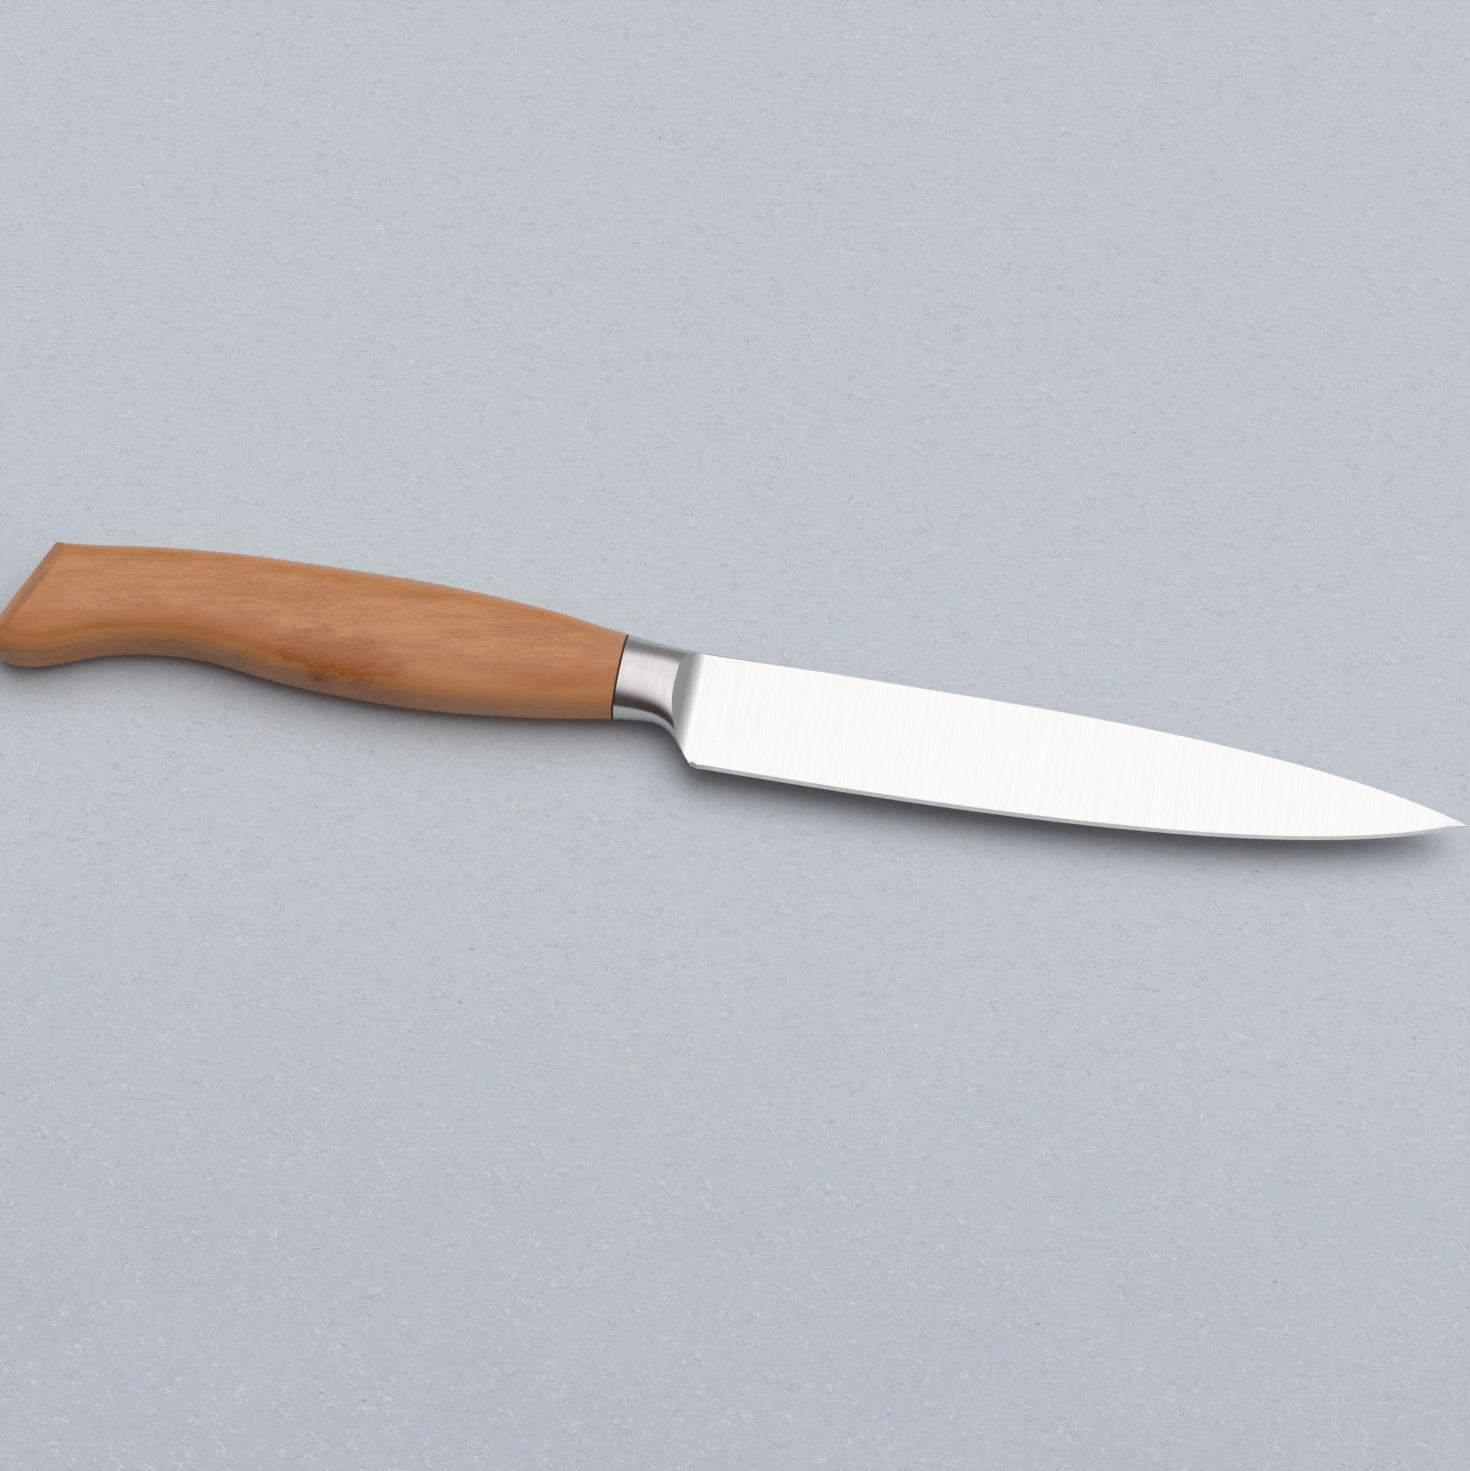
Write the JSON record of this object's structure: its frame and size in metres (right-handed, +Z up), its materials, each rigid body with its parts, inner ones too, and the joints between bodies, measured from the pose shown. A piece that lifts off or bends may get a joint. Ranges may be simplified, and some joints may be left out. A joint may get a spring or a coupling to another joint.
{
  "type": "utility knife",
  "caption": "Kitchen utility knife with a slim pointed steel blade, a ground steel bolster and a curved one-piece wooden handle with a hooked butt.",
  "frame": {"origin": "on the handle's lower side face, on the tang's middle line, 50 mm behind the joint of wood and bolster", "axes": "+X along the knife to the tip, +Y from the edge to the spine, +Z up from the table, through the knife's thickness"},
  "size_m": [0.2516, 0.0277, 0.012],
  "materials": {
    "blade_steel": "fine satin, ground across the blade",
    "bolster_steel": "brushed round the collar",
    "dark_fibre": "matt vulcanised fibre",
    "handle_wood": "oiled, smooth, fine-pored fruit wood",
    "epoxy": "cured amber adhesive"
  },
  "bodies": {
    "root": {"blade": "blade_steel", "bolster": "bolster_steel", "spacer": "dark_fibre", "handle": "handle_wood", "tang_epoxy": "epoxy"}
  },
  "joints": []
}
